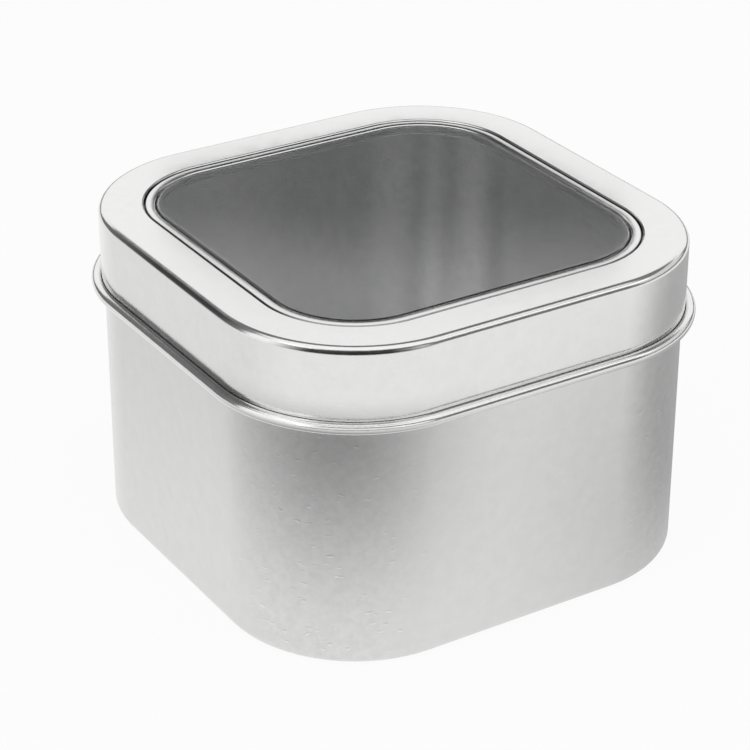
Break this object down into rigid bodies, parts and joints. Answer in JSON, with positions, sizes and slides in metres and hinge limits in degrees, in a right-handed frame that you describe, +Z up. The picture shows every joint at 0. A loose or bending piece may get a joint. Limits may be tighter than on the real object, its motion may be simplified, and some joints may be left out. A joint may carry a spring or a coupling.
{
  "type": "window lid tin",
  "caption": "Rounded-square drawn metal tin with a slip-on lid, a rolled bead under the skirt and a clear window in the lid that shows what is inside.",
  "frame": {"origin": "middle of the foot ring, on the plane that the tin stands on", "axes": "+Z up, along the way the lid lifts; X and Y square to the flat sides"},
  "size_m": [0.08, 0.08, 0.0522],
  "materials": {
    "tinplate": "satin tinplate with a fine grain",
    "clear_sheet": "clear formed sheet, glossy on both faces"
  },
  "bodies": {
    "tin": {"tin_body": "tinplate"},
    "lid": {"lid_shell": "tinplate", "window_bezel": "tinplate", "window_pane": "clear_sheet", "window_retainer": "tinplate"}
  },
  "joints": [
    {"name": "lid_lift", "type": "slide", "parent": "tin", "child": "lid", "axis": [0, 0, 1], "range_m": [0, 0.08]}
  ]
}
